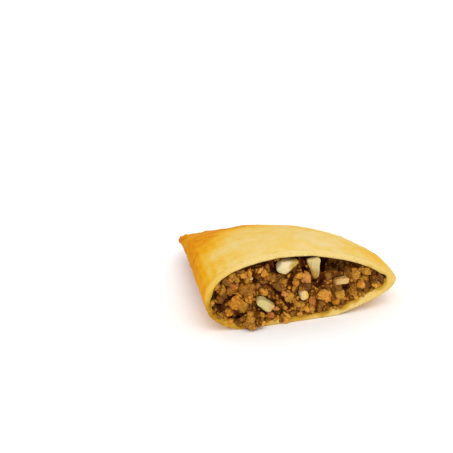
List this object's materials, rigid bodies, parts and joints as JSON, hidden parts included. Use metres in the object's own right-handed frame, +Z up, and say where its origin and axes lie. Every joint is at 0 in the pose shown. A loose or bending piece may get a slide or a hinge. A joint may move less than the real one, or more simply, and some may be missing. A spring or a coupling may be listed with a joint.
{
  "type": "meat pastel",
  "caption": "Half of a baked half-moon meat pastel: folded crust with a pinched corner, cut open to show minced meat and diced onion filling",
  "frame": {"origin": "middle of the half in plan, on the surface it rests on", "axes": "+X along the cut from the fold to the sealed rim, +Y from the cut back to the pinched corner, +Z up; the cut faces -Y"},
  "size_m": [0.075, 0.0712, 0.031],
  "materials": {
    "baked_dough": "baked, satin with a slight egg-wash gloss",
    "cooked_mince": "moist, uneven",
    "onion": "soft, slightly translucent, moist"
  },
  "bodies": {
    "root": {"crust": "baked_dough", "meat_filling": "cooked_mince", "onion_piece_1": "onion", "onion_piece_2": "onion", "onion_piece_3": "onion", "onion_piece_4": "onion", "onion_piece_5": "onion"}
  },
  "joints": []
}
